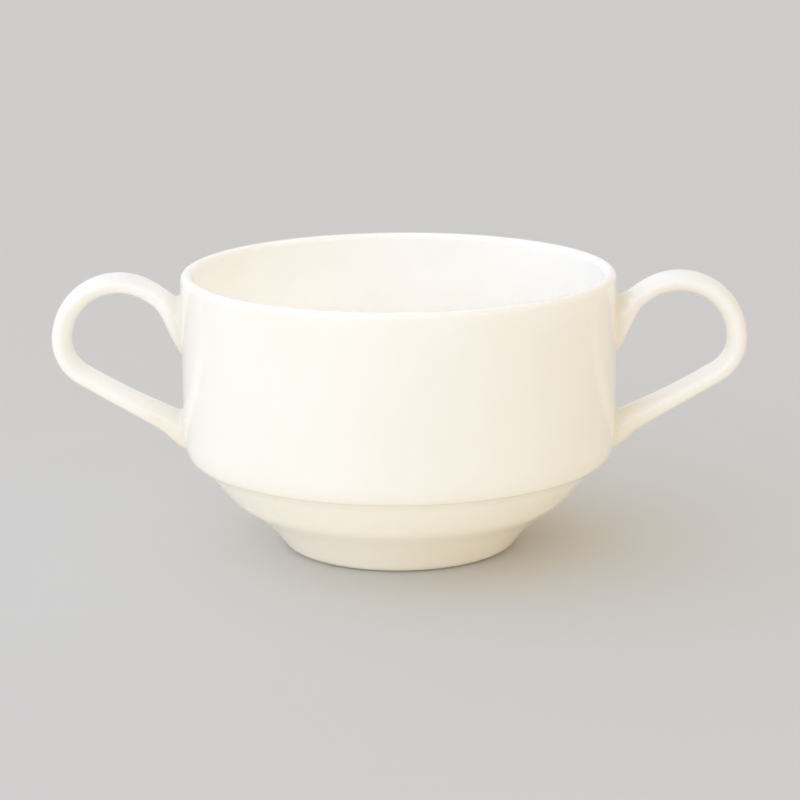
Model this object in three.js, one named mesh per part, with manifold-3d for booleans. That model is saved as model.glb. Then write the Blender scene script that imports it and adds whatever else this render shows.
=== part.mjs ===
// A stackable soup cup with two handles, in ivory glazed porcelain.
// Millimetres, +Z up. The origin is the middle of the foot, on the table, and the handles lie along X.
import * as THREE from 'three';
import Module from 'manifold-3d';

const manifoldLibrary = await Module();
manifoldLibrary.setup();
const { Manifold, Mesh: ManifoldMesh } = manifoldLibrary;

// Wall and rim
const rimRadius = 52;
const cupHeight = 67;
const wallThickness = 3;
const lipEdgeRadius = 1.2;

// Step that seats on the rim of the cup below, and how far the wall draws in above it
const stepHeight = 22.5;
const stepEdgeDepth = 2.3;
const stepEdgeHeight = 5.5;
const stackingClearance = 0.6;

// Bowl below the step, and the foot that it narrows to
const shoulderRadius = 40.9;
const shoulderHeight = 12.7;
const shoulderRounding = 16;
const neckRadius = 32.1;
const neckHeight = 6.6;
const neckRounding = 30;
const footRadius = 27.5;
const footEdgeRadius = 3.6;
const bearingWidth = 2.2;
const bearingEdgeRadius = 1;
const recessDepth = 2.8;

// Inside of the cup
const floorThickness = 4.2;
const innerCurveRadius = 33;

// Handles: a strand rises off the wall, turns over in a loop, and falls back to the wall
const handleReach = 29;
const handleTopRadius = 14;
const handleTurnRadius = 9.9;
const handleThickness = 4.9;
const handleWidth = 8.8;
const handleBelowRim = 0.4;
const upperStrandAngle = THREE.MathUtils.degToRad(36);
const lowerStrandAngle = THREE.MathUtils.degToRad(30);

// Flared ends of the handles: how much each side of the strand grows by the wall
const upperFlareAbove = 0.3;
const upperFlareAboveLength = 4;
const upperFlareBelow = 6.6;
const upperFlareBelowLength = 5.7;
const lowerFlareAbove = 1.2;
const lowerFlareAboveLength = 14;
const lowerFlareBelow = 1.7;
const lowerFlareBelowLength = 6;
const flareAcross = 1.2;
const flareAcrossLength = 6;

// Slip that joins each handle end to the wall
const slipThickness = 1.2;
const slipMargin = 0.5;
const jointGap = 0.3;

// Fineness of the round shapes
const turnSegments = 72;
const sectionSides = 20;
const strandSteps = 12;

const porcelain = { color: 0xf6f0e0, roughness: 0.12, metalness: 0 };
const firedSlip = { color: 0xefe6d0, roughness: 0.2, metalness: 0 };

const cup = new THREE.Group();

function addMesh(name, geometry, finish) {
  const mesh = new THREE.Mesh(geometry, new THREE.MeshStandardMaterial(finish));
  mesh.name = name;
  cup.add(mesh);
}

// Appends an arc to an outline, both ends included.
function addArc(outline, centre, radius, fromAngle, toAngle, steps) {
  for (let step = 0; step <= steps; step++) {
    const angle = fromAngle + ((toAngle - fromAngle) * step) / steps;
    outline.push(new THREE.Vector2(centre.x + radius * Math.cos(angle), centre.y + radius * Math.sin(angle)));
  }
}

// Appends a corner rounded to a radius.
function addRoundedCorner(outline, before, corner, after, radius, steps) {
  const incoming = before.clone().sub(corner).normalize();
  const outgoing = after.clone().sub(corner).normalize();
  const halfAngle = Math.acos(incoming.dot(outgoing)) / 2;
  const bisector = incoming.clone().add(outgoing).normalize();
  const centre = corner.clone().addScaledVector(bisector, radius / Math.sin(halfAngle));
  const reach = radius / Math.tan(halfAngle);
  const start = corner.clone().addScaledVector(incoming, reach).sub(centre).angle();
  const end = corner.clone().addScaledVector(outgoing, reach).sub(centre).angle();
  const sweep = THREE.MathUtils.euclideanModulo(end - start + Math.PI, 2 * Math.PI) - Math.PI;
  addArc(outline, centre, radius, start, start + sweep, steps);
}

// Turns an outline of (radius, height) points about the Z axis.
function turn(outline) {
  return new THREE.LatheGeometry(outline, turnSegments).rotateX(Math.PI / 2);
}

// Cup body: the outline runs from under the floor, round the foot and wall, over the rim and down inside.
const innerRadius = rimRadius - wallThickness;
const bowlTopRadius = innerRadius - stackingClearance;
const floorTop = recessDepth + floorThickness;

function addFoot(outline, neck) {
  const footSlope = Math.atan2(neckHeight, neckRadius - footRadius);
  const bearingOutside = footRadius - footEdgeRadius * Math.tan(footSlope / 2);
  const recessRadius = bearingOutside - bearingWidth - bearingEdgeRadius;
  const recessMiddle = new THREE.Vector2(0, recessDepth);
  const recessCorner = new THREE.Vector2(recessRadius, recessDepth);
  const bearingCorner = new THREE.Vector2(recessRadius, 0);
  const footCorner = new THREE.Vector2(footRadius, 0);
  outline.push(recessMiddle);
  addRoundedCorner(outline, recessMiddle, recessCorner, bearingCorner, bearingEdgeRadius, 4);
  addRoundedCorner(outline, recessCorner, bearingCorner, footCorner, bearingEdgeRadius, 4);
  addRoundedCorner(outline, bearingCorner, footCorner, neck, footEdgeRadius, 5);
}

// The bowl leaves the foot in a soft hollow, turns over a shoulder and rises to the step.
function addBowl(outline, neck) {
  const footCorner = new THREE.Vector2(footRadius, 0);
  const shoulder = new THREE.Vector2(shoulderRadius, shoulderHeight);
  const bowlTop = new THREE.Vector2(bowlTopRadius, stepHeight);
  addRoundedCorner(outline, footCorner, neck, shoulder, neckRounding, 6);
  addRoundedCorner(outline, neck, shoulder, bowlTop, shoulderRounding, 4);
  outline.push(bowlTop);
}

// The wall's lower edge is a quarter of an oval, here grown by an allowance.
function stepEdge(allowance) {
  const middleRadius = rimRadius - stepEdgeDepth;
  const middleHeight = stepHeight + stepEdgeHeight;
  const halfDepth = stepEdgeDepth + allowance;
  const halfHeight = stepEdgeHeight + allowance;
  const edge = new THREE.EllipseCurve(middleRadius, middleHeight, halfDepth, halfHeight, -Math.PI / 2, 0);
  return edge.getPoints(8);
}

function cupOutline() {
  const outline = [];
  const neck = new THREE.Vector2(neckRadius, neckHeight);
  addFoot(outline, neck);
  addBowl(outline, neck);
  outline.push(...stepEdge(0));
  const lipOutside = new THREE.Vector2(rimRadius - lipEdgeRadius, cupHeight - lipEdgeRadius);
  addArc(outline, lipOutside, lipEdgeRadius, 0, Math.PI / 2, 5);
  const lipInside = new THREE.Vector2(innerRadius + lipEdgeRadius, cupHeight - lipEdgeRadius);
  addArc(outline, lipInside, lipEdgeRadius, Math.PI / 2, Math.PI, 5);
  const innerCentre = new THREE.Vector2(innerRadius - innerCurveRadius, floorTop + innerCurveRadius);
  addArc(outline, innerCentre, innerCurveRadius, 0, -Math.PI / 2, 12);
  outline.push(new THREE.Vector2(0, floorTop));
  return outline;
}

addMesh('cup_body', turn(cupOutline()), porcelain);

// Handle loop, in the plane of X and Z, for the handle on the +X side: a wide arc and a tighter one
const outerReach = rimRadius + handleReach;
const loopHeight = cupHeight - handleBelowRim - handleThickness / 2 - handleTopRadius;
const topCentre = new THREE.Vector2(outerReach - handleTopRadius, loopHeight);
const turnCentre = new THREE.Vector2(outerReach - handleTurnRadius, loopHeight);

const topArc = [];
addArc(topArc, topCentre, handleTopRadius, Math.PI / 2 + upperStrandAngle, 0, 18);
const turnArc = [];
addArc(turnArc, turnCentre, handleTurnRadius, 0, lowerStrandAngle - Math.PI / 2, 10);

const upperEnd = {
  from: topArc[0],
  angle: upperStrandAngle,
  flareAbove: upperFlareAbove,
  flareAboveLength: upperFlareAboveLength,
  flareBelow: upperFlareBelow,
  flareBelowLength: upperFlareBelowLength,
};
const lowerEnd = {
  from: turnArc.at(-1),
  angle: lowerStrandAngle,
  flareAbove: lowerFlareAbove,
  flareAboveLength: lowerFlareAboveLength,
  flareBelow: lowerFlareBelow,
  flareBelowLength: lowerFlareBelowLength,
};

// What is left of a flare at a distance from the wall.
function flareLeft(size, length, distance) {
  return size * (1 - THREE.MathUtils.smoothstep(distance, 0, length));
}

// An upright oval through a strand at a distance from the wall, grown all round by a margin.
// Inside the wall the strand runs level.
function strandOval(end, distance, margin) {
  const x = rimRadius + distance;
  const height = end.from.y - (end.from.x - Math.max(x, rimRadius)) * Math.tan(end.angle);
  const halfStrand = handleThickness / 2 / Math.cos(end.angle);
  const above = halfStrand + margin + flareLeft(end.flareAbove, end.flareAboveLength, distance);
  const below = halfStrand + margin + flareLeft(end.flareBelow, end.flareBelowLength, distance);
  return {
    middle: new THREE.Vector2(x, height + (above - below) / 2),
    direction: new THREE.Vector2(0, 1),
    half: (above + below) / 2,
    across: handleWidth / 2 + margin + flareLeft(flareAcross, flareAcrossLength, distance),
  };
}

// A closed body through ovals, each with a half size along its direction in X and Z, and one across Y.
function loft(ovals) {
  const positions = [];
  const indices = [];
  for (const { middle, direction, half, across } of ovals) {
    for (let side = 0; side < sectionSides; side++) {
      const angle = (2 * Math.PI * side) / sectionSides;
      const point = middle.clone().addScaledVector(direction, half * Math.cos(angle));
      positions.push(point.x, across * Math.sin(angle), point.y);
    }
  }
  const nextSide = (side) => (side + 1) % sectionSides;
  for (let ring = 0; ring < ovals.length - 1; ring++) {
    for (let side = 0; side < sectionSides; side++) {
      const here = ring * sectionSides + side;
      const next = ring * sectionSides + nextSide(side);
      indices.push(here, here + sectionSides, next);
      indices.push(next, here + sectionSides, next + sectionSides);
    }
  }
  const lastRing = (ovals.length - 1) * sectionSides;
  for (let side = 1; side < sectionSides - 1; side++) {
    indices.push(0, side, side + 1);
    indices.push(lastRing, lastRing + side + 1, lastRing + side);
  }
  const geometry = new THREE.BufferGeometry();
  geometry.setAttribute('position', new THREE.Float32BufferAttribute(positions, 3));
  geometry.setIndex(indices);
  return geometry;
}

function toManifold(geometry) {
  const vertProperties = new Float32Array(geometry.getAttribute('position').array);
  const triVerts = new Uint32Array(geometry.getIndex().array);
  const mesh = new ManifoldMesh({ numProp: 3, vertProperties, triVerts });
  mesh.merge();
  return new Manifold(mesh);
}

function fromManifold(solid) {
  const mesh = solid.getMesh();
  const geometry = new THREE.BufferGeometry();
  geometry.setAttribute('position', new THREE.BufferAttribute(mesh.vertProperties, 3));
  geometry.setIndex(new THREE.BufferAttribute(mesh.triVerts, 1));
  geometry.computeVertexNormals();
  return geometry;
}

// A round bar with the wall's outline, larger by an allowance, to trim the handles and the slip against.
function wallBar(allowance) {
  const outline = [
    new THREE.Vector2(0, stepHeight - allowance),
    ...stepEdge(allowance),
    new THREE.Vector2(rimRadius + allowance, cupHeight),
    new THREE.Vector2(0, cupHeight),
  ];
  return toManifold(turn(outline));
}

const slipStart = jointGap;
const slipEnd = slipStart + slipThickness;
const handleStart = slipEnd + jointGap;

// Both bodies start this far inside the wall, and are then trimmed
const trimDepth = 2.5;

// The ovals of a strand stand upright at the wall and lean over until they are square to the strand.
function strandOvals(end) {
  const ovals = [];
  const length = end.from.x - rimRadius;
  for (let step = 0; step < strandSteps; step++) {
    const distance = -trimDepth + ((length + trimDepth) * step) / strandSteps;
    const lean = end.angle * THREE.MathUtils.smoothstep(distance, 0, length);
    const oval = strandOval(end, distance, 0);
    oval.direction.set(-Math.sin(lean), Math.cos(lean));
    oval.half *= Math.cos(end.angle) / Math.cos(end.angle - lean);
    ovals.push(oval);
  }
  return ovals;
}

function loopOvals(arc, centre) {
  return arc.map((middle) => ({
    middle,
    direction: middle.clone().sub(centre).normalize(),
    half: handleThickness / 2,
    across: handleWidth / 2,
  }));
}

function makeHandle() {
  const upperStrand = strandOvals(upperEnd);
  const lowerStrand = strandOvals(lowerEnd).reverse();
  lowerStrand.forEach((oval) => oval.direction.negate());
  const overTop = loopOvals(topArc, topCentre);
  const underTurn = loopOvals(turnArc.slice(1), turnCentre);
  return toManifold(loft([...upperStrand, ...overTop, ...underTurn, ...lowerStrand]));
}

// Slip joint: a thin collar round a handle end, wider where it meets the wall.
function makeSlipJoint(end) {
  const ovals = [];
  const steps = 6;
  for (let step = 0; step <= steps; step++) {
    const distance = -trimDepth + ((handleStart + trimDepth) * step) / steps;
    const margin = slipMargin * THREE.MathUtils.clamp(1 - distance / handleStart, 0, 1);
    ovals.push(strandOval(end, distance, margin));
  }
  return toManifold(loft(ovals));
}

const slipSpace = wallBar(slipEnd).subtract(wallBar(slipStart));
const handle = makeHandle().subtract(wallBar(handleStart));
const upperSlip = makeSlipJoint(upperEnd).intersect(slipSpace);
const lowerSlip = makeSlipJoint(lowerEnd).intersect(slipSpace);

for (const [side, halfTurn] of [['right', 0], ['left', 180]]) {
  addMesh(`handle_${side}`, fromManifold(handle.rotate([0, 0, halfTurn])), porcelain);
  addMesh(`slip_joint_upper_${side}`, fromManifold(upperSlip.rotate([0, 0, halfTurn])), firedSlip);
  addMesh(`slip_joint_lower_${side}`, fromManifold(lowerSlip.rotate([0, 0, halfTurn])), firedSlip);
}

export default cup;
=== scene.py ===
import math
import bpy
from mathutils import Euler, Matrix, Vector


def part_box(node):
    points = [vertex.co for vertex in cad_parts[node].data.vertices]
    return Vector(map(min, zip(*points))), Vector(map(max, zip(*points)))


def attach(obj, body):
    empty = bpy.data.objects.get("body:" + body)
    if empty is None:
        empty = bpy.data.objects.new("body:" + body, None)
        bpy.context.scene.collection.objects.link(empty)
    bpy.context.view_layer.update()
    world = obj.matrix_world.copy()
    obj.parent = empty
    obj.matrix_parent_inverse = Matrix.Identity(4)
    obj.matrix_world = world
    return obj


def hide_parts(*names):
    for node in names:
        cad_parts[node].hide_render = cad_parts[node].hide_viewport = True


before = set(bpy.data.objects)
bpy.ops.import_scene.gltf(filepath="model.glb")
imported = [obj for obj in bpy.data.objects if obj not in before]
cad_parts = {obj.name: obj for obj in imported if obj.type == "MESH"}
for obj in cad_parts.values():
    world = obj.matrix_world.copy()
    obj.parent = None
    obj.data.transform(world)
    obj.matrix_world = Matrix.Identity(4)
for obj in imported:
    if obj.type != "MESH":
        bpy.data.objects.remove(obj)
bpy.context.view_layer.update()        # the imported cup: every node in metres, standing on its foot
mm = 0.001
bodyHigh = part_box("cup_body")[1]
rimRadius = bodyHigh.x / mm        # sizes below are in mm, and the mesh gets metres
rimHeight = bodyHigh.z / mm
print("frame loaded:", len(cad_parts), "nodes, rim", round(rimRadius * 2, 1), "mm across")


# small helpers for edit mode

def deselectAll():
    if bpy.context.object and bpy.context.object.mode != "OBJECT":
        bpy.ops.object.mode_set(mode="OBJECT")
    bpy.ops.object.select_all(action="DESELECT")


def makeActive(piece):
    deselectAll()
    piece.select_set(True)
    bpy.context.view_layer.objects.active = piece


def editAll(piece):        # into edit mode with every element selected
    makeActive(piece)
    bpy.ops.object.mode_set(mode="EDIT")
    bpy.ops.mesh.select_all(action="SELECT")


def copyOf(piece, name):        # a copy with its own mesh
    twin = piece.copy()
    twin.data = piece.data.copy()
    twin.name = twin.data.name = name
    bpy.context.collection.objects.link(twin)
    return twin


def applyModifier(piece, kind, name, **settings):
    makeActive(piece)
    modifier = piece.modifiers.new(name, kind)
    for key, value in settings.items():
        setattr(modifier, key, value)
    bpy.ops.object.modifier_apply(modifier=name)


# small helpers for lines, arcs and directions

def clamped(share):
    return min(1, max(0, share))


def eased(share):        # from 0 to 1 with a soft start and end
    share = clamped(share)
    return share * share * (3 - 2 * share)


def pointsBetween(start, end, parts):        # evenly spaced, without the two ends
    return [start.lerp(end, part / parts) for part in range(1, parts)]


def arcPoints(centre, radius, fromAngle, toAngle, steps):
    points = []
    for step in range(steps + 1):
        angle = math.radians(fromAngle + (toAngle - fromAngle) * step / steps)
        points.append(centre + Vector((math.cos(angle), math.sin(angle))) * radius)
    return points


def roundedCorner(before, corner, after, radius, steps):        # the fillet that replaces a corner
    back, on = (before - corner).normalized(), (after - corner).normalized()
    half = back.angle(on) / 2
    centre = corner + (back + on).normalized() * radius / math.sin(half)
    reach = radius / math.tan(half)
    first, last = corner + back * reach - centre, corner + on * reach - centre
    start = math.degrees(math.atan2(first.y, first.x))
    turn = math.degrees(math.atan2(last.y, last.x)) - start
    turn = (turn + 180) % 360 - 180        # the short way round
    return arcPoints(centre, radius, start, start + turn, steps)


def outFromCup(azimuth, elevation):        # a direction: azimuth 0 is the front, 90 the right
    around, up = math.radians(azimuth), math.radians(elevation)
    return Vector((math.sin(around) * math.cos(up), -math.cos(around) * math.cos(up), math.sin(up)))


# cup body: half its outline is drawn as a chain of points and spun round Z

cupBody = {
    "wall": 3.0,
    "lipRadius": 1.5,
    "stepHeight": 22.5,
    "stepEdge": (2.3, 5.5),        # the wall draws in this much over this height
    "corners": [        # radius, height and rounding, from the foot up to the crease under the step
        (27.5, 0.0, 3.6),
        (32.1, 6.6, 30.0),
        (40.9, 12.7, 16.0),
        (47.3, 20.5, 12.0),
        (49.4, 22.5, 0.9),
    ],
    "bearingInner": 23.42,        # inner radius of the ring that stands on the table
    "bearingEdge": 1.0,        # rounding of the ring's inner edge and of the hollow's corner
    "recess": 2.8,        # the hollow inside that ring
    "floorTop": 7.0,        # height of the floor inside
    "innerCurve": 33.0,        # radius between that floor and the wall
    "steps": {"corner": 8, "stepEdge": 18, "wall": 6, "lip": 20, "inside": 4, "innerCurve": 28, "spin": 192},
    "weld": 0.002,        # points closer than this are one
}
recessRadius = cupBody["bearingInner"] - cupBody["bearingEdge"]


def bodyOutline(size):
    steps = size["steps"]
    depth, height = size["stepEdge"]
    stepCentre = Vector((rimRadius - depth, size["stepHeight"] + height))
    corners = [(recessRadius, size["recess"], size["bearingEdge"]), (recessRadius, 0, size["bearingEdge"])]
    corners += size["corners"]
    chain = [Vector((0, size["recess"])), *(Vector(corner[:2]) for corner in corners)]
    chain.append(Vector((stepCentre.x, size["stepHeight"])))
    points = [chain[0], Vector((recessRadius / 2, size["recess"]))]
    for before, corner, after, (_, _, rounding) in zip(chain, chain[1:], chain[2:], corners):
        points += roundedCorner(before, corner, after, rounding, steps["corner"])

    for point in arcPoints(Vector((0, 0)), 1, -90, 0, steps["stepEdge"]):        # a quarter of an oval
        points.append(stepCentre + Vector((point.x * depth, point.y * height)))
    wallTop = rimHeight - size["lipRadius"]
    points += pointsBetween(Vector((rimRadius, stepCentre.y)), Vector((rimRadius, wallTop)), steps["wall"])
    lipCentre = Vector((rimRadius - size["lipRadius"], wallTop))
    points += arcPoints(lipCentre, size["lipRadius"], 0, 180, steps["lip"])
    insideRadius = rimRadius - size["wall"]
    innerCentre = Vector((insideRadius - size["innerCurve"], size["floorTop"] + size["innerCurve"]))
    insideTop, insideEnd = Vector((insideRadius, wallTop)), Vector((insideRadius, innerCentre.y))
    points += pointsBetween(insideTop, insideEnd, steps["inside"])
    points += arcPoints(innerCentre, size["innerCurve"], 0, -90, steps["innerCurve"])
    points += [Vector((innerCentre.x / 2, size["floorTop"])), Vector((0, size["floorTop"]))]
    return points


def buildBody(size):
    outline = bodyOutline(size)
    deselectAll()
    bpy.ops.mesh.primitive_plane_add(size=mm, location=(0, 0, outline[0].y * mm))
    body = bpy.context.object
    body.name = body.data.name = "porcelain_body"
    bpy.ops.object.transform_apply()
    bpy.ops.object.mode_set(mode="EDIT")
    bpy.ops.mesh.select_all(action="SELECT")
    bpy.ops.mesh.merge(type="CENTER")        # one point left, on the axis under the floor
    for here, there in zip(outline, outline[1:]):
        move = Vector((there.x - here.x, 0, there.y - here.y)) * mm
        bpy.ops.mesh.extrude_vertices_move(TRANSFORM_OT_translate={"value": move})
    bpy.ops.mesh.select_all(action="SELECT")
    bpy.ops.mesh.spin(steps=size["steps"]["spin"], angle=2 * math.pi, center=(0, 0, 0), axis=(0, 0, 1))
    bpy.ops.mesh.select_all(action="SELECT")
    bpy.ops.mesh.remove_doubles(threshold=size["weld"] * mm)
    bpy.ops.mesh.normals_make_consistent(inside=False)
    bpy.ops.object.mode_set(mode="OBJECT")
    bpy.ops.object.shade_smooth()
    return body


body = buildBody(cupBody)
print("body spun:", len(body.data.polygons), "faces")


# handle: an oval ring is extruded along the strand, over the loop and back to the wall

handleSizes = {
    "reach": 29.0,        # from the wall to the strand's middle at its outermost
    "topRadius": 14.0,
    "turnRadius": 9.9,
    "thickness": 4.9,
    "width": 8.8,
    "belowRim": 0.4,        # from the rim down to the top of the loop
    "upperAngle": 36.0,        # both strands slope down towards the wall
    "lowerAngle": 30.0,
    "upperFlare": {"above": (0.4, 4.0), "below": (7.1, 5.0)},        # how much, over what length
    "lowerFlare": {"above": (1.5, 14.0), "below": (2.2, 6.0)},
    "flareAcross": (1.0, 6.0),
    "notch": 1.15,        # the slip runs out on to the wall in a hollow of this radius
    "notchAcross": 0.8,        # share of that hollow on the two sides
    "wallDistances": (-0.7, -0.1, 0.12, 0.4, 0.8, 1.4, 2.1, 3.0, 4.1, 5.3),        # of the rings by the wall
    "topSteps": 14,
    "turnSteps": 7,
    "ringSides": 16,
    "smoothing": 2,        # levels of subdivision
    "hugLength": 8.0,        # the strand bends on to the round wall over this length
    "slipCut": 1.6,        # the slip joint ends and the handle starts this far from the wall
    "splitHeight": 40.0,        # between the upper and the lower joint
    "cutTolerance": 0.001,
}


def handleStations(size):        # (x, z, lean, half height, half width) of each ring, from the upper end
    outer = rimRadius + size["reach"]
    loopHeight = rimHeight - size["belowRim"] - size["thickness"] / 2 - size["topRadius"]
    topCentre = Vector((outer - size["topRadius"], loopHeight))
    turnCentre = Vector((outer - size["turnRadius"], loopHeight))
    halfThick, halfWide = size["thickness"] / 2, size["width"] / 2

    def flareAt(flare, distance):        # what remains of a flare at this distance from the wall
        most, length = flare
        return most * (1 - eased(distance / length))

    def hollowAt(distance):        # how far a hollow of the notch's radius stands off its own bottom
        off = min(1, abs(1 - max(0, distance) / size["notch"]))
        return size["notch"] * (1 - math.sqrt(1 - off * off))

    def strand(end, angle, flare):        # the rings from the wall to the end of an arc
        slope = math.radians(angle)
        length = end.x - rimRadius
        hollowReach = size["notch"] / math.tan((math.pi / 2 - slope) / 2)        # up the wall
        rings = []
        for distance in (*size["wallDistances"], (size["wallDistances"][-1] + length) / 2):
            runOut = 0
            if distance < hollowReach * math.cos(slope):
                runOut = hollowReach - size["notch"] + hollowAt(distance) - max(0, distance) * math.tan(slope)
            above = halfThick / math.cos(slope) + flareAt(flare["above"], distance) + runOut
            below = halfThick / math.cos(slope) + flareAt(flare["below"], distance)
            lean = angle * eased(distance / length)
            half = (above + below) / 2 * math.cos(slope) / math.cos(slope - math.radians(lean))
            middle = end.y - (length - max(0, distance)) * math.tan(slope) + (above - below) / 2
            aside = hollowAt(min(distance, size["notch"])) * size["notchAcross"]
            wide = halfWide + flareAt(size["flareAcross"], distance) + aside
            rings.append((rimRadius + distance, middle, -lean, half, wide))
        return rings

    topArc = arcPoints(topCentre, size["topRadius"], 90 + size["upperAngle"], 0, size["topSteps"])
    turnArc = arcPoints(turnCentre, size["turnRadius"], 0, size["lowerAngle"] - 90, size["turnSteps"])[1:]
    rings = strand(topArc[0], size["upperAngle"], size["upperFlare"])
    for centre, arc in ((topCentre, topArc), (turnCentre, turnArc)):
        for point in arc:
            spoke = point - centre
            lean = math.degrees(math.atan2(spoke.x, spoke.y))
            rings.append((point.x, point.y, lean, halfThick, halfWide))
    back = strand(turnArc[-1], size["lowerAngle"], size["lowerFlare"])
    rings += [(x, z, 180 + lean, half, wide) for x, z, lean, half, wide in reversed(back)]
    return rings


def buildHandle(size):
    stations = handleStations(size)
    grow = 3 / (2 + math.cos(2 * math.pi / size["ringSides"]))        # the subdivision shrinks a ring by this
    x, z, lean, half, wide = stations[0]
    centre = Vector((x, 0, z)) * mm
    deselectAll()
    bpy.ops.mesh.primitive_circle_add(vertices=size["ringSides"], radius=mm, location=centre,
                                      rotation=(0, math.pi / 2, 0))
    handle = bpy.context.object
    handle.name = handle.data.name = "handle_whole"
    bpy.ops.object.transform_apply()
    bpy.ops.object.mode_set(mode="EDIT")
    bpy.ops.mesh.select_all(action="SELECT")
    bpy.ops.transform.resize(value=(1, wide * grow, half * grow), center_override=centre)
    for x, z, newLean, newHalf, newWide in stations[1:]:
        start, centre = centre, Vector((x, 0, z)) * mm
        bpy.ops.mesh.extrude_edges_move(TRANSFORM_OT_translate={"value": centre - start})
        # set upright, resized and leaned again
        bpy.ops.transform.rotate(value=math.radians(lean), orient_axis="Y", center_override=centre)
        bpy.ops.transform.resize(value=(1, newWide / wide, newHalf / half), center_override=centre)
        bpy.ops.transform.rotate(value=-math.radians(newLean), orient_axis="Y", center_override=centre)
        lean, half, wide = newLean, newHalf, newWide
    bpy.ops.mesh.select_all(action="SELECT")
    bpy.ops.mesh.normals_make_consistent(inside=False)
    bpy.ops.object.mode_set(mode="OBJECT")
    return handle


def wallRadius(height):        # the wall draws in at the step's edge
    depth, rise = cupBody["stepEdge"]
    share = clamped((cupBody["stepHeight"] + rise - height) / rise)
    return rimRadius - depth * (1 - math.sqrt(1 - share ** 2))


def hugWall(handle, size):        # bends the flat rings by the wall on to its round face
    for vertex in handle.data.vertices:
        x, y, z = vertex.co / mm
        share = clamped(1 - (x - rimRadius) / size["hugLength"])
        vertex.co.x -= share * (rimRadius - math.sqrt(wallRadius(z) ** 2 - y ** 2)) * mm


def cutPiece(whole, name, cuts):        # a copy of the whole handle, cut by planes and closed again
    piece = copyOf(whole, name)
    for point, normal in cuts:
        editAll(piece)
        bpy.ops.mesh.bisect(plane_co=point, plane_no=normal, use_fill=True, clear_inner=True,
                            threshold=handleSizes["cutTolerance"] * mm)
    bpy.ops.mesh.select_all(action="DESELECT")
    bpy.ops.mesh.select_mode(type="EDGE")
    bpy.ops.mesh.select_non_manifold()
    bpy.ops.mesh.edge_face_add()        # closes the end that is buried in the wall
    bpy.ops.mesh.select_mode(type="VERT")
    bpy.ops.object.mode_set(mode="OBJECT")
    applyModifier(piece, "DATA_TRANSFER", "wholeNormals", object=whole, use_loop_data=True,
                  data_types_loops={"CUSTOM_NORMAL"}, loop_mapping="POLYINTERP_NEAREST")
    return piece


whole = buildHandle(handleSizes)
hugWall(whole, handleSizes)
levels = handleSizes["smoothing"]
applyModifier(whole, "SUBSURF", "round", levels=levels, render_levels=levels)
makeActive(whole)
bpy.ops.object.shade_smooth()
seam = Vector(((rimRadius + handleSizes["slipCut"]) * mm, 0, 0))
level = Vector((0, 0, handleSizes["splitHeight"] * mm))
outward, up = Vector((1, 0, 0)), Vector((0, 0, 1))
rightPieces = {
    "handle_right": cutPiece(whole, "porcelain_handle_right", [(seam, outward)]),
    "slip_joint_upper_right": cutPiece(whole, "fired_slip_upper_right", [(seam, -outward), (level, up)]),
    "slip_joint_lower_right": cutPiece(whole, "fired_slip_lower_right", [(seam, -outward), (level, -up)]),
}
bpy.data.objects.remove(whole)

handlePieces = dict(rightPieces)
for node, piece in rightPieces.items():        # the left handle is the right one turned half round
    twin = copyOf(piece, piece.name.replace("right", "left"))
    makeActive(twin)
    twin.rotation_euler.z = math.pi
    bpy.ops.object.transform_apply()
    handlePieces[node.replace("right", "left")] = twin
print("handles cut:", {node: len(piece.data.polygons) for node, piece in handlePieces.items()})


# materials

colourFrom, colourTo, colourMixed = 6, 7, 2        # the sockets that a Mix node uses for colours


def linear(hexColour):        # sRGB hex to the linear colour that nodes take
    colour = []
    for start in (1, 3, 5):
        channel = int(hexColour[start:start + 2], 16) / 255
        colour.append(channel / 12.92 if channel <= 0.04045 else ((channel + 0.055) / 1.055) ** 2.4)
    return (*colour, 1.0)


def addNode(tree, kind, values=None, **settings):        # adds a node with its settings and links
    node = tree.nodes.new("ShaderNode" + kind)
    for key, value in settings.items():
        setattr(node, key, value)
    for socket, value in (values or {}).items():
        if isinstance(value, bpy.types.NodeSocket):
            tree.links.new(value, node.inputs[socket])
        else:
            node.inputs[socket].default_value = value
    return node.outputs


def newMaterial(name):
    material = bpy.data.materials.new(name)
    material.use_nodes = True
    return material, material.node_tree, material.node_tree.nodes["Principled BSDF"]


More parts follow.
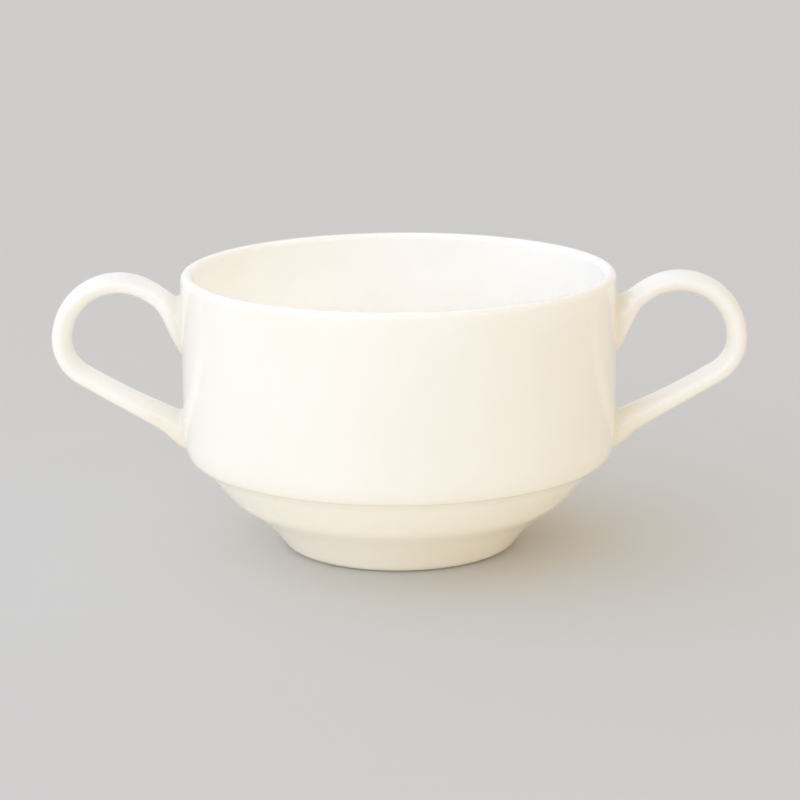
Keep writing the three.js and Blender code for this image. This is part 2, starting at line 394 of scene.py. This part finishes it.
# hard ivory porcelain under a clear gloss glaze, fired smooth: an even creamy body with soft-edged
# reflections that waver a little, and a deeper cream that is partly melted glaze gathered in hollows
# and partly painted shade: in the crease, round the joints, towards the foot and along the lower strand. The
# inside and the handles get a paler ivory, which is painted light
glaze = {
    "ivory": "#F9F6ED",
    "pale": "#FBF9F3",        # a paler ivory for the inside and the handles: painted light, for the brighter light that falls there
    "paintedLightInsideEdge": 30.0,        # the paler inside, painted light, is full where the mouth is this far in front of a face
    "cloud": (24.0, 3.0),        # mm across a faint cloud in the body's tone, and its detail
    "cloudSpan": (0.3, 0.7),        # the noise mostly stays between these
    "cloudDrift": (-0.05, 0.12),        # a cloud takes this share of the deeper tone of pooled glaze and painted shade
    "peel": (3.2, 1.0),        # mm between the ripples of the glaze
    "sag": (17.0, 1.0),        # mm between the slow waves left by the fire
    "peelShare": 0.12,        # height of the fine ripples, as a share of the slow waves
    "rippleDepth": 0.012,
    "roughness": 0.09,
    "ior": 1.52,
    "poolAndShadeTone": "#EDE3CB",
    # pooled glaze and painted shade: share of that deeper tone, full up to the first distance in mm and ended
    # at the second
    # in the crease under the step: partly glaze gathered there, partly painted shade
    "creasePoolAndShade": {"share": 0.2, "fade": (0.2, 2.0)},
    # painted shade: darker and warmer towards the foot
    "footShade": {"share": 0.2, "fade": (2.0, 24.0)},
    "jointPoolAndShade": {"share": 0.5, "fade": (-0.4, 3.2), "wallFade": (0.8, 0.1)},        # painted shade with some gathered glaze round the handle joints, only outside the wall
    # painted shade, with some gathered glaze, at the handle's ends by the wall
    "endPoolAndShade": {"share": 0.55, "fade": (0.2, 4.5)},
    "strandShade": {"share": 0.5, "fade": (1.0, 18.0), "heightFade": (36.0, 45.0)},        # painted shade down the lower strand, near the body
}


def poolAndShadeOnBody(tree, spot):        # gathered glaze and painted shade in the crease and round the joints, painted shade towards the foot
    crease, foot, joint = glaze["creasePoolAndShade"], glaze["footShade"], glaze["jointPoolAndShade"]
    profile = addNode(tree, "CombineXYZ", {"X": spot["radius"], "Y": spot["height"]})["Vector"]
    creasePlace = Vector((cupBody["corners"][-1][0], cupBody["stepHeight"], 0)) * mm
    fromCrease = addNode(tree, "VectorMath", {0: profile, 1: creasePlace}, operation="DISTANCE")["Value"]
    poolsAndShade = [
        (crease["share"], [(fromCrease, *crease["fade"])]),
        (foot["share"], [(spot["height"], *foot["fade"])]),
    ]
    insideRadius = rimRadius - cupBody["wall"]
    outside = (spot["radius"], *(insideRadius + edge for edge in joint["wallFade"]))
    for node, piece in rightPieces.items():
        if "slip" not in node:
            continue
        corners = [Vector(corner) / mm for corner in piece.bound_box]
        low, high = min(corner.z for corner in corners), max(corner.z for corner in corners)
        halfWide = max(corner.y for corner in corners)
        squeeze = 2 * halfWide / (high - low)        # makes the joint's oval round
        height = addNode(tree, "Math", {0: spot["height"], 1: squeeze}, operation="MULTIPLY")["Value"]
        onWall = addNode(tree, "CombineXYZ", {"X": spot["across"], "Y": height})["Vector"]
        middle = (0, (low + high) / 2 * squeeze * mm, 0)
        away = addNode(tree, "VectorMath", {0: onWall, 1: middle}, operation="DISTANCE")["Value"]
        nearJoint = (away, *(halfWide + edge for edge in joint["fade"]))
        poolsAndShade.append((joint["share"], [nearJoint, outside]))
    return poolsAndShade


def poolAndShadeOnHandle(tree, spot):        # painted shade, with some gathered glaze, at the ends by the wall, and painted shade down the lower strand
    end, strand = glaze["endPoolAndShade"], glaze["strandShade"]
    fromWall = addNode(tree, "Math", {0: spot["radius"], 1: rimRadius * mm}, operation="SUBTRACT")["Value"]
    return [
        (end["share"], [(fromWall, *end["fade"])]),
        (strand["share"], [(fromWall, *strand["fade"]), (spot["height"], *strand["heightFade"])]),
    ]


def poolAndShadeShare(tree, poolsAndShade):        # the share of the deeper tone, by the strongest mark of pooled glaze and painted shade at each place
    strongestShare = 0.0
    for share, edges in poolsAndShade:
        depth = share
        for measure, full, ended in edges:
            fade = addNode(tree, "MapRange", {"Value": measure, "From Min": full * mm, "From Max": ended * mm,
                                              "To Min": 1.0, "To Max": 0.0}, interpolation_type="SMOOTHSTEP")
            depth = addNode(tree, "Math", {0: depth, 1: fade["Result"]}, operation="MULTIPLY")["Value"]
        strongestShare = addNode(tree, "Math", {0: strongestShare, 1: depth}, operation="MAXIMUM")["Value"]
    return strongestShare


def glazedPorcelain(name, poolsAndShadeAt, paintedLightInside):
    material, tree, shader = newMaterial(name)
    coordinates = addNode(tree, "TexCoord")
    place = coordinates["Object"]
    axes = addNode(tree, "SeparateXYZ", {"Vector": place})
    flat = addNode(tree, "CombineXYZ", {"X": axes["X"], "Y": axes["Y"]})["Vector"]
    radius = addNode(tree, "VectorMath", {0: flat}, operation="LENGTH")["Value"]
    noise = {}
    for pattern in ("cloud", "peel", "sag"):
        spacing, detail = glaze[pattern]
        values = {"Vector": place, "Scale": 1 / (spacing * mm), "Detail": detail}
        noise[pattern] = addNode(tree, "TexNoise", values)["Fac"]

    # the handles take the paler ivory all over, as painted light
    tone = linear(glaze["pale"])
    if paintedLightInside:        # faces that look at the cup's mouth are its inside, which gets the paler ivory as painted light
        mouth = (0, 0, rimHeight * mm)
        toMouth = addNode(tree, "VectorMath", {0: mouth, 1: place}, operation="SUBTRACT")["Vector"]
        facing = addNode(tree, "VectorMath", {0: toMouth, 1: coordinates["Normal"]}, operation="DOT_PRODUCT")
        inside = addNode(tree, "MapRange", {"Value": facing["Value"], "From Max": glaze["paintedLightInsideEdge"] * mm})
        tone = addNode(tree, "Mix", {"Factor": inside["Result"], colourFrom: linear(glaze["ivory"]),
                                     colourTo: tone}, data_type="RGBA")[colourMixed]
    spot = {"radius": radius, "across": axes["Y"], "height": axes["Z"]}
    # the deeper cream: partly glaze gathered in hollows, partly painted shade
    poolAndShadeTone = poolAndShadeShare(tree, poolsAndShadeAt(tree, spot))
    noiseLow, noiseHigh = glaze["cloudSpan"]
    least, most = glaze["cloudDrift"]
    drift = addNode(tree, "MapRange", {"Value": noise["cloud"], "From Min": noiseLow, "From Max": noiseHigh,
                                       "To Min": least, "To Max": most})["Result"]
    share = addNode(tree, "Math", {0: poolAndShadeTone, 1: drift}, operation="ADD", use_clamp=True)["Value"]
    colour = addNode(tree, "Mix", {"Factor": share, colourFrom: tone, colourTo: linear(glaze["poolAndShadeTone"])},
                     data_type="RGBA")[colourMixed]

    ripple = addNode(tree, "Math", {0: noise["peel"], 1: glaze["peelShare"], 2: noise["sag"]},
                     operation="MULTIPLY_ADD")["Value"]
    bump = addNode(tree, "Bump", {"Height": ripple, "Strength": 1.0, "Distance": glaze["rippleDepth"] * mm})
    tree.links.new(colour, shader.inputs["Base Color"])
    tree.links.new(bump["Normal"], shader.inputs["Normal"])
    shader.inputs["Roughness"].default_value = glaze["roughness"]
    shader.inputs["IOR"].default_value = glaze["ior"]
    return material


# biscuit porcelain, left bare where the cup stands in the kiln and ground flat: chalky, with a fine grit
biscuit = {
    "pale": "#EFEBE1",
    "worn": "#E6E0D4",
    "grit": (0.5, 2.0),        # mm between grains, drawn coarser than real so that they show, and detail
    "scuff": (2.5, 4.0),        # mm across a worn patch
    "wornSpan": (0.45, 0.7),        # the noise at which wear starts and is full
    "gritDepth": 0.02,
    "roughness": 0.85,
    "height": 0.12,        # faces of the foot ring that lie lower than this are bare
}


def groundBiscuit():
    material, tree, shader = newMaterial("ground biscuit porcelain")
    place = addNode(tree, "TexCoord")["Object"]
    noise = {}
    for pattern in ("grit", "scuff"):
        spacing, detail = biscuit[pattern]
        values = {"Vector": place, "Scale": 1 / (spacing * mm), "Detail": detail}
        noise[pattern] = addNode(tree, "TexNoise", values)["Fac"]
    start, full = biscuit["wornSpan"]
    worn = addNode(tree, "MapRange", {"Value": noise["scuff"], "From Min": start, "From Max": full})["Result"]
    colour = addNode(tree, "Mix", {"Factor": worn, colourFrom: linear(biscuit["pale"]),
                                   colourTo: linear(biscuit["worn"])}, data_type="RGBA")[colourMixed]
    bump = addNode(tree, "Bump", {"Height": noise["grit"], "Strength": 1.0,
                                  "Distance": biscuit["gritDepth"] * mm})
    tree.links.new(colour, shader.inputs["Base Color"])
    tree.links.new(bump["Normal"], shader.inputs["Normal"])
    shader.inputs["Roughness"].default_value = biscuit["roughness"]
    return material


bodyGlaze = glazedPorcelain("clear glazed ivory porcelain", poolAndShadeOnBody, paintedLightInside=True)
handleGlaze = glazedPorcelain("clear glazed ivory porcelain handle", poolAndShadeOnHandle, paintedLightInside=False)
body.data.materials.append(bodyGlaze)
body.data.materials.append(groundBiscuit())
for piece in handlePieces.values():
    piece.data.materials.clear()
    piece.data.materials.append(handleGlaze)

for face in body.data.polygons:        # the ring that stands on the table is bare
    radius = math.hypot(face.center.x, face.center.y) / mm
    if face.center.z < biscuit["height"] * mm and radius > recessRadius:
        face.material_index = 1
print("materials made:", len(bpy.data.materials))

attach(body, "root")
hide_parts("cup_body")
for node, piece in handlePieces.items():
    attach(piece, "root")
    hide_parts(node)


# stage: a pale floor, a soft room that is lighter on the left, and the photograph's camera

stage = {
    "floorColour": "#FCF5E5",        # a white table, which lights the bowl from below
    "floorSeen": "#D2D0CC",        # drawn a little darker, so that the pale cup stands out from it
    "floorGlow": 0.056,        # the floor glows a little for the light it sends on to the cup, standing in for a table lit from below; the camera doesn't see the glow
    "floorRoughness": 0.9,
    "floorSize": 8000.0,
    "backdropColour": "#D6D6D4",        # what the camera sees above the floor
    "roomLeft": "#E3EDFF",        # the room is lighter and cooler on the left, darker and warmer on the right
    "roomRight": "#BBAD93",
    "roomStrength": 1.445,
    "front": {        # one soft lamp in front, a little to the left
        "place": (-400.0, -1250.0, 600.0),
        "size": (1400.0, 800.0),
        "watts": 3.2,
        "colour": "#D8E3FF",
        "aimHeight": 35.0,
    },
    "beam": {        # narrow lights over the lip, as wide as the mouth, on to the far wall inside
        "lamps": [        # name, azimuth, watts
            ("intoCupLeft", -30.0, 0.0015),
            ("intoCupCorner", 45.0, 0.0015),
            ("intoCupRight", 90.0, 0.0027),
        ],
        "distance": 300.0,
        "elevation": 40.0,
        "spread": 4.0,
        "colour": "#FFFCF8",
    },
}

deselectAll()
bpy.ops.mesh.primitive_plane_add(size=stage["floorSize"] * mm)
floor = bpy.context.object
floor.name = "floor"
floorPaint, floorTree, floorShader = newMaterial("plain pale floor")
floorRays = addNode(floorTree, "LightPath")
seen = addNode(floorTree, "Math", {0: floorRays["Is Camera Ray"], 1: floorRays["Is Glossy Ray"]},
               operation="MAXIMUM")["Value"]
floorTone = addNode(floorTree, "Mix", {"Factor": seen, colourFrom: linear(stage["floorColour"]),
                                       colourTo: linear(stage["floorSeen"])}, data_type="RGBA")[colourMixed]
# painted light: the floor glows for the rays that light the cup, not for the camera nor in glossy reflections
glow = addNode(floorTree, "MapRange", {"Value": seen, "To Min": stage["floorGlow"], "To Max": 0.0})["Result"]
floorTree.links.new(floorTone, floorShader.inputs["Base Color"])
floorTree.links.new(glow, floorShader.inputs["Emission Strength"])
floorShader.inputs["Emission Color"].default_value = linear(stage["floorColour"])
floorShader.inputs["Roughness"].default_value = stage["floorRoughness"]
floor.data.materials.append(floorPaint)

world = bpy.context.scene.world or bpy.data.worlds.new("soft room")
bpy.context.scene.world = world
world.use_nodes = True
room = world.node_tree
background = room.nodes["Background"]
direction = addNode(room, "TexCoord")["Generated"]        # in a world this is the way a ray goes
across = addNode(room, "SeparateXYZ", {"Vector": direction})["X"]
toRight = addNode(room, "MapRange", {"Value": across, "From Min": -1.0})["Result"]
roomTone = addNode(room, "Mix", {"Factor": toRight, colourFrom: linear(stage["roomLeft"]),
                                 colourTo: linear(stage["roomRight"])}, data_type="RGBA")[colourMixed]
room.links.new(roomTone, background.inputs["Color"])
background.inputs["Strength"].default_value = stage["roomStrength"]
backdrop = addNode(room, "Background", {"Color": linear(stage["backdropColour"])})["Background"]
cameraRay = addNode(room, "LightPath")["Is Camera Ray"]
roomLight = background.outputs["Background"]
roomShader = addNode(room, "MixShader", {0: cameraRay, 1: roomLight, 2: backdrop})["Shader"]
room.links.new(roomShader, room.nodes["World Output"].inputs["Surface"])


def addLamp(name, place, aim, shape, size, watts, colour):        # place, aim and size in mm
    bpy.ops.object.light_add(type="AREA", location=place * mm)
    lamp = bpy.context.object
    lamp.name = name
    lamp.data.shape = shape
    lamp.data.size, lamp.data.size_y = size[0] * mm, size[1] * mm
    lamp.data.energy = watts
    lamp.data.color = linear(colour)[:3]
    lamp.rotation_euler = (aim - place).to_track_quat("-Z", "Y").to_euler()
    return lamp


front = stage["front"]
frontAim = Vector((0, 0, front["aimHeight"]))
addLamp("softFront", Vector(front["place"]), frontAim, "RECTANGLE", front["size"],
        front["watts"], front["colour"])

beam = stage["beam"]
mouthCentre = Vector((0, 0, rimHeight))
mouthWidth = 2 * (rimRadius - cupBody["wall"])
beamSize = (mouthWidth, mouthWidth * math.sin(math.radians(beam["elevation"])))
for name, azimuth, watts in beam["lamps"]:
    place = mouthCentre + outFromCup(azimuth, beam["elevation"]) * beam["distance"]
    lamp = addLamp(name, place, mouthCentre, "ELLIPSE", beamSize, watts, beam["colour"])
    lamp.data.spread = math.radians(beam["spread"])
    lamp.visible_camera = lamp.visible_glossy = False        # no bright dot in the glaze

camera = {
    "distance": 645.0,        # from the aim
    "elevation": 13.55,
    "azimuth": 0.75,
    "roll": 0.42,
    "aim": (0.17, 0.0, 34.97),
    "lens": 120.3,
}
back = outFromCup(camera["azimuth"], camera["elevation"])
bpy.ops.object.camera_add(location=(Vector(camera["aim"]) + back * camera["distance"]) * mm)
photoCamera = bpy.context.object
facing = (-back).to_track_quat("-Z", "Y").to_matrix()
tilt = Euler((0, 0, -math.radians(camera["roll"]))).to_matrix()
photoCamera.rotation_euler = (facing @ tilt).to_euler()
photoCamera.data.lens = camera["lens"]
bpy.context.scene.camera = photoCamera
bpy.context.scene.view_settings.view_transform = "Standard"
print("stage set")
